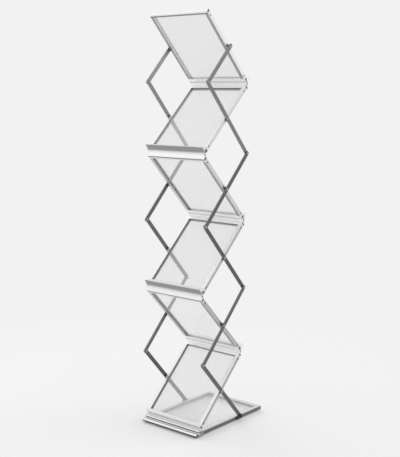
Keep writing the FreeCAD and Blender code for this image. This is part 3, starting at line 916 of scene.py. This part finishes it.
@dataclass
class Shelf:
    """One clear shelf in its frame of rails, with its pivot bushes and screws."""

    number: int
    finishes: Finishes
    rail_depth: float = 0.013
    chamber_height: float = 0.010
    chamber_width: float = 0.0039
    chamber_inset: float = 0.00855
    screw_radius: float = 0.0024
    screw_height: float = 0.0009
    screw_sink: float = 0.0006
    screw_inset: float = 0.009
    flange_radius: float = 0.0078
    flange_round: float = 0.0003
    shank_radius: float = 0.00345
    head_radius: float = 0.005

    @property
    def rises_back(self) -> bool:
        """Whether the shelf leans back as it rises."""
        return self.number % 2 == 1

    @property
    def along(self) -> Vector:
        """The way up along the shelf."""
        way = 1.0 if self.rises_back else -1.0
        return Vector((0.0, way * TILT_COSINE, TILT_SINE))

    @property
    def name(self) -> str:
        """The shelf's body."""
        return f"shelf_{self.number}"

    @property
    def hinge(self) -> Vector:
        """Where the bead at the shelf's foot turns."""
        name = "fold" if self.number == 1 else f"{self.name}_hinge"
        return next(Vector(joint["pos_m"]) for joint in frame["joints"] if joint["name"] == name)

    def dress(self) -> None:
        """Gives the rails and the sheet their finishes."""
        dress(f"{self.name}_side_rails", self.finishes[f"rail_{self.number}"])
        foot = "low_foot_rail_painted_shade" if self.number == 1 else "foot_rail"
        dress(f"{self.name}_bottom_rail", self.finishes[foot])
        dress(f"{self.name}_sheet", self.finishes["clear_sheet"])
        if self.number == SHELF_COUNT:
            dress(f"{self.name}_top_rail", self.finishes["top_rail"])
        else:
            ledge = "ledge_back" if self.rises_back else "ledge_front"
            dress(f"{self.name}_ledge_rail", self.finishes[ledge])

    def screw(self, fittings: Fittings, spot: Vector, side: float) -> None:
        """Adds one socket screw to a rail's outer face.

        Args:
            fittings: the piece to add it to.
            spot: where it sits on the face.
            side: the way it faces across the stand.
        """
        r, h, sink = self.screw_radius, self.screw_height, self.screw_sink
        rings = [
            Ring(-sink, 0.0), Ring(-sink, r), Ring(0.25 * h, r), Ring(0.7 * h, 0.9 * r), Ring(h, 0.68 * r),
            Ring(h, 0.5 * r, Outline.HEXAGON), Ring(0.1 * h, 0.48 * r, Outline.HEXAGON), Ring(0.0, 0.0),
        ]
        fittings.turn(facing_out(spot, (side, 0.0, 0.0)), rings, sides=24)

    def build_rail_ends(self) -> None:
        """Makes the screws near the side rails' ends and in the hinge bead, and the end rails' plugs."""
        low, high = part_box(f"{self.name}_side_rails")
        centre = (low + high) / 2.0
        length = ((high.z - low.z) - self.rail_depth * TILT_COSINE) / TILT_SINE
        reach = length / 2.0
        over = Vector((1.0, 0.0, 0.0)).cross(self.along)
        plug = plug_rings(self.chamber_height / 2.0, self.chamber_width / 2.0)
        screws = Fittings(f"{self.name}_screws")
        plugs = Fittings(f"{self.name}_plugs")
        for side in SIDES.values():
            face = Vector((side * high.x, 0.0, 0.0))
            self.screw(screws, self.hinge + face, side)
            for end in (-1.0, 1.0):
                self.screw(screws, centre + face + self.along * (end * (reach - self.screw_inset)), side)
                spot = centre + face + self.along * (end * (reach + self.chamber_inset))
                plugs.turn(facing_out(spot, (side, 0.0, 0.0), over), plug, sides=48)
        screws.piece(self.finishes["black_screw"], self.name)
        plugs.piece(self.finishes["black_plastic"], self.name)

    def build_pivots(self) -> None:
        """Makes the moulded bushes that the arms turn on and the screws that hold them."""
        node = f"{self.name}_pivots"
        centre = middle(node)
        arm_low, arm_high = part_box(f"arm_{self.number}_right")
        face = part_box(f"{self.name}_side_rails")[1].x
        flange = arm_low.x - FACE_PLAY - face
        seat = arm_high.x + FACE_PLAY - face
        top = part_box(node)[1].x - face
        rise = top - seat
        r, wide, shank = self.head_radius, self.flange_radius, self.shank_radius
        bush = [
            Ring(0.0, 0.0), Ring(0.0, wide), Ring(flange - self.flange_round, wide),
            Ring(flange, wide - self.flange_round), Ring(flange, shank), Ring(seat, shank), Ring(seat, 0.0),
        ]
        head = [
            Ring(seat, 0.0), Ring(seat, 0.97 * r), Ring(seat + 0.1 * rise, r), Ring(seat + 0.45 * rise, r),
            Ring(seat + 0.78 * rise, 0.93 * r), Ring(top, 0.74 * r), Ring(top, 0.46 * r, Outline.HEXAGON),
            Ring(top - 0.7 * rise, 0.44 * r, Outline.HEXAGON), Ring(top - 0.75 * rise, 0.0),
        ]
        bushes = Fittings(f"{self.name}_bushes")
        heads = Fittings(f"{self.name}_pivot_screws")
        for side in SIDES.values():
            place = facing_out((side * face, centre.y, centre.z), (side, 0.0, 0.0))
            bushes.turn(place, bush)
            heads.turn(place, head, sides=48)
        bushes.piece(self.finishes["black_plastic"], self.name, [node])
        heads.piece(self.finishes["pivot_steel"], self.name)

    def build(self) -> None:
        """Builds and dresses the shelf."""
        self.dress()
        self.build_rail_ends()
        self.build_pivots()


@dataclass
class Tongs:
    """One pair of arms, left and right, with the rivets that pin the next pair to it."""

    number: int
    finishes: Finishes
    pin_radius: float = 0.00245
    head_radius: float = 0.0055
    foot_height: float = 0.0014
    washer_radius: float = 0.0069
    washer_thickness: float = 0.0005
    washer_under_round: float = 0.0001
    washer_over_round: float = 0.0002

    @property
    def name(self) -> str:
        """The arms' body."""
        return f"arm_{self.number}"

    def dress(self) -> None:
        """Gives both arms their finish."""
        finish = self.finishes[self.name]
        for side in SIDES:
            dress(f"{self.name}_{side}", finish)

    def build_rivets(self) -> None:
        """Makes the domed rivets and the washers under their heads."""
        node = f"{self.name}_rivets"
        centre = middle(node)
        boxes = [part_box(f"arm_{number}_right") for number in (self.number, self.number + 1)]
        inner = min(low.x for low, _ in boxes) - FACE_PLAY
        outer = max(high.x for _, high in boxes) + FACE_PLAY
        thick, wide = self.washer_thickness, self.washer_radius
        seat = outer + thick - inner
        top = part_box(node)[1].x - inner
        dome = top - seat
        r, pin, foot = self.head_radius, self.pin_radius, self.foot_height
        rivet = [
            Ring(-foot, 0.0), Ring(-foot, 0.6 * r), Ring(-0.6 * foot, 0.86 * r), Ring(0.0, 0.86 * r),
            Ring(0.0, pin), Ring(seat, pin), Ring(seat, r), Ring(seat + 0.2 * dome, 0.985 * r),
            Ring(seat + 0.5 * dome, 0.86 * r), Ring(seat + 0.78 * dome, 0.64 * r),
            Ring(seat + 0.95 * dome, 0.34 * r), Ring(top, 0.12 * r), Ring(top, 0.0),
        ]
        washer = [
            Ring(0.05 * thick, 0.0), Ring(0.05 * thick, wide - self.washer_under_round),
            Ring(0.3 * thick, wide), Ring(0.8 * thick, wide), Ring(thick, wide - self.washer_over_round),
            Ring(thick, 0.0),
        ]
        rivets = Fittings(f"{self.name}_rivet_heads")
        washers = Fittings(f"{self.name}_washers")
        for side in SIDES.values():
            rivets.turn(facing_out((side * inner, centre.y, centre.z), (side, 0.0, 0.0)), rivet)
            washers.turn(facing_out((side * outer, centre.y, centre.z), (side, 0.0, 0.0)), washer)
        rivets.piece(self.finishes["rivet_steel"], self.name, [node])
        washers.piece(self.finishes["black_plastic"], self.name)

    def build(self) -> None:
        """Builds and dresses the pair."""
        self.dress()
        if self.number < SHELF_COUNT:
            self.build_rivets()


@dataclass
class Base:
    """The flat base: four rails, a clear floor sheet and four rubber feet."""

    finishes: Finishes
    foot_radius: float = 0.006
    foot_height: float = 0.004
    nose_radius: float = 0.006
    nose_bore: float = 0.004
    back_chamber_height: float = 0.0126
    back_chamber_width: float = 0.0049
    back_chamber_inset: float = 0.00395

    def dress(self) -> None:
        """Gives the rails and the sheet their finishes."""
        for node in ("base_front_rail", "base_back_rail"):
            dress(node, self.finishes[node])
        for side in SIDES:
            dress(f"base_{side}_rail", self.finishes["base_side_rail"])
        dress("base_sheet", self.finishes["clear_sheet"])

    def build_feet(self) -> None:
        """Makes the round rubber feet."""
        low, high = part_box("base_feet")
        r, h = self.foot_radius, self.foot_height
        rings = [
            Ring(0.0, 0.0), Ring(0.0, r), Ring(0.7 * h, r), Ring(0.9 * h, 0.95 * r), Ring(h, 0.82 * r),
            Ring(h, 0.4 * r), Ring(0.8 * h, 0.34 * r), Ring(0.8 * h, 0.0),
        ]
        feet = Fittings("base_round_feet")
        for x in (low.x + r, high.x - r):
            for y in (low.y + r, high.y - r):
                feet.turn(facing_out((x, y, h), (0.0, 0.0, -1.0), (0.0, 1.0, 0.0)), rings)
        feet.piece(self.finishes["foot_rubber"], "base", ["base_feet"])

    def build_plugs(self) -> None:
        """Makes the plugs in the ends of the hollow nose and of the hollow back rail."""
        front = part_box("base_front_rail")[0]
        low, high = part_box("base_back_rail")
        nose = (front.y + self.nose_radius, front.z + self.nose_radius)
        hollow = (high.y - self.back_chamber_inset, (low.z + high.z) / 2.0)
        round_plug = plug_rings(self.nose_bore, self.nose_bore, Outline.ROUND)
        tall_plug = plug_rings(self.back_chamber_height / 2.0, self.back_chamber_width / 2.0)
        plugs = Fittings("base_plugs")
        for side in SIDES.values():
            for (y, z), rings in ((nose, round_plug), (hollow, tall_plug)):
                plugs.turn(facing_out((side * high.x, y, z), (side, 0.0, 0.0)), rings, sides=48)
        plugs.piece(self.finishes["black_plastic"], "base")

    def build(self) -> None:
        """Builds and dresses the base."""
        self.dress()
        self.build_feet()
        self.build_plugs()


@dataclass
class FootLock:
    """The shoes in the base's tracks, their pins and the knobs that clamp them."""

    finishes: Finishes
    bore_radius: float = 0.00255
    bore_depth: float = 0.0055
    knob_radius: float = 0.007

    def dress(self) -> None:
        """Gives the shoes and the pins their finishes."""
        for side in SIDES:
            dress(f"foot_shoe_{side}", self.finishes["black_plastic"])
        dress("foot_pins", self.finishes["rivet_steel"])

    def build_knobs(self) -> None:
        """Makes the lobed clamping knobs."""
        for side, way in SIDES.items():
            node = f"lock_knob_{side}"
            low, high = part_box(node)
            centre = middle(node)
            base = low.x if way > 0.0 else high.x
            tall = high.x - low.x
            r, bore, depth = self.knob_radius, self.bore_radius, self.bore_depth
            rings = [
                Ring(depth, 0.0), Ring(depth, bore), Ring(0.0, bore), Ring(0.0, 0.72 * r),
                Ring(0.08 * tall, 0.8 * r), Ring(0.16 * tall, 0.95 * r, Outline.LOBED),
                Ring(0.26 * tall, r, Outline.LOBED), Ring(0.72 * tall, r, Outline.LOBED),
                Ring(0.86 * tall, 0.95 * r, Outline.LOBED), Ring(0.95 * tall, 0.84 * r, Outline.LOBED),
                Ring(tall, 0.66 * r), Ring(tall, 0.52 * r), Ring(0.95 * tall, 0.46 * r),
                Ring(0.95 * tall, 0.0),
            ]
            knob = Fittings(f"clamp_knob_{side}")
            knob.turn(facing_out((base, centre.y, centre.z), (way, 0.0, 0.0)), rings, sides=80)
            knob.piece(self.finishes["black_plastic"], node, [node])

    def build(self) -> None:
        """Builds and dresses the lock."""
        self.dress()
        self.build_knobs()


@dataclass(frozen=True)
class Lamp:
    """A soft lamp of the studio.

    Args:
        name: its name.
        spot: where it stands.
        shine: how bright it is; a panel's face is white at 1.
        size: a panel's width and height, or nothing for a lamp far off.
    """

    name: str
    spot: tuple[float, float, float]
    shine: float
    size: Optional[tuple[float, float]] = None


@dataclass
class Studio:
    """The pale floor and surround, the soft lamps and the camera.

    The surround is pale where it is seen, and its fill is the light that it sheds. The floor is
    lifted towards white by its share where it is seen, and fades out from its inner to its outer
    radius. The camera's focal length and the picture's height are in picture points.
    """

    pale: float = 0.887
    fill: float = 0.68
    floor_colour: float = 0.955
    floor_white: float = 1.0
    floor_share: float = 0.1
    floor_inner: float = 0.75
    floor_outer: float = 1.9
    lit_spot: tuple[float, float, float] = (0.0, 0.0, 0.7)
    spread: float = math.radians(55.0)
    lamps: tuple[Lamp, ...] = (
        Lamp("right_overhead", (1.2, 1.8, 1.5), 1.05),
        Lamp("left_overhead", (-1.8, 0.5, 1.6), 0.75),
        Lamp("front_panel", (-2.2, -2.7, 1.1), 0.35, (2.6, 2.4)),
        Lamp("top_panel", (-2.2, -0.5, 3.4), 0.27, (2.4, 2.4)),
    )
    focal: float = 862.584
    picture_height: float = 457.0
    azimuth: float = math.radians(38.9458)
    pitch: float = math.radians(7.9755)
    roll: float = math.radians(1.0175)
    distance: float = 3.006588
    target: tuple[float, float, float] = (0.0, -0.058372, 0.697248)
    slide: float = 0.01442

    def rays(self, g: Graph) -> Term:
        """1 for rays from the camera and for those that metal and clear sheets pass on, 0 for the rest."""
        path = g.node("ShaderNodeLightPath", output="Is Camera Ray")
        return (path + path.also("Is Glossy Ray") + path.also("Is Transmission Ray")).capped()

    def build_surround(self) -> None:
        """Makes the pale surround, and the softer light that it sheds."""
        world = bpy.data.worlds.new("pale_surround")
        bpy.context.scene.world = world
        world.use_nodes = True
        g = Graph(world.node_tree)
        light = g.node("ShaderNodeBackground", None, {"Color": (1.0, 1.0, 1.0), "Strength": self.fill})
        seen = g.node("ShaderNodeBackground", None, {"Color": (self.pale,) * 3, "Strength": 1.0})
        shown = g.node("ShaderNodeMixShader", None, {0: self.rays(g), 1: light, 2: seen})
        g.node("ShaderNodeOutputWorld", None, {"Surface": shown})

    def build_floor(self) -> None:
        """Makes the pale floor, which fades into the surround."""
        data = bpy.data.meshes.new("pale_floor")
        shape = bmesh.new()
        bmesh.ops.create_circle(shape, cap_ends=True, segments=96, radius=self.floor_outer)
        shape.to_mesh(data)
        shape.free()
        floor = bpy.data.objects.new("pale_floor", data)
        bpy.context.scene.collection.objects.link(floor)
        material, g = new_material("pale_floor")
        reach = g.node("ShaderNodeVectorMath", {"operation": "LENGTH"}, {0: g.place()}, "Value")
        matt = g.node("ShaderNodeBsdfDiffuse", None, {"Color": (self.floor_colour,) * 3})
        white = g.node("ShaderNodeEmission", None, {"Color": (self.floor_white,) * 3, "Strength": 1.0})
        lit = g.node("ShaderNodeMixShader", None, {0: self.rays(g) * self.floor_share, 1: matt, 2: white})
        clear = g.node("ShaderNodeBsdfTransparent")
        away = g.fade(reach, self.floor_inner, self.floor_outer)
        g.surface(g.node("ShaderNodeMixShader", None, {0: away, 1: lit, 2: clear}))
        data.materials.append(material)

    def build_lamp(self, lamp: Lamp) -> None:
        """Makes one lamp, aimed at the stand.

        Args:
            lamp: what it is like.
        """
        if lamp.size is None:
            light = bpy.data.lights.new(lamp.name, "SUN")
            light.angle = self.spread
            light.energy = lamp.shine
        else:
            light = bpy.data.lights.new(lamp.name, "AREA")
            light.shape = "RECTANGLE"
            light.size, light.size_y = lamp.size
            light.energy = lamp.shine * math.pi * light.size * light.size_y
        made = bpy.data.objects.new(lamp.name, light)
        bpy.context.scene.collection.objects.link(made)
        made.visible_glossy = lamp.size is not None
        made.location = lamp.spot
        towards = Vector(self.lit_spot) - Vector(lamp.spot)
        made.rotation_euler = towards.to_track_quat("-Z", "Y").to_euler()

    def build_camera(self) -> None:
        """Makes the camera at the photograph's viewing angle."""
        sine, cosine = math.sin(self.azimuth), math.cos(self.azimuth)
        back = Vector((sine * math.cos(self.pitch), -cosine * math.cos(self.pitch), math.sin(self.pitch)))
        right = Vector((cosine, sine, 0.0))
        up = back.cross(right)
        across = right * math.cos(self.roll) + up * math.sin(self.roll)
        upward = up * math.cos(self.roll) - right * math.sin(self.roll)
        stand = Vector(self.target) + right * self.slide + back * self.distance
        lens = bpy.data.cameras.new("camera")
        lens.sensor_width = 36.0
        lens.lens = self.focal * lens.sensor_width / self.picture_height
        camera = bpy.data.objects.new("camera", lens)
        bpy.context.scene.collection.objects.link(camera)
        turn = Matrix((across, upward, back)).transposed().to_4x4()
        camera.matrix_world = Matrix.Translation(stand) @ turn
        bpy.context.scene.camera = camera

    def build(self) -> None:
        """Builds the studio."""
        bpy.context.scene.view_settings.view_transform = "Standard"
        self.build_surround()
        self.build_floor()
        for lamp in self.lamps:
            self.build_lamp(lamp)
        self.build_camera()


def main() -> None:
    """Builds the stand's looks and the studio around it."""
    logging.basicConfig(level=logging.INFO, format="%(message)s")
    finishes = Finishes()
    finishes.build()
    Base(finishes).build()
    FootLock(finishes).build()
    for number in range(1, SHELF_COUNT + 1):
        Shelf(number, finishes).build()
        Tongs(number, finishes).build()
    Studio().build()


if __name__ == "__main__":
    main()
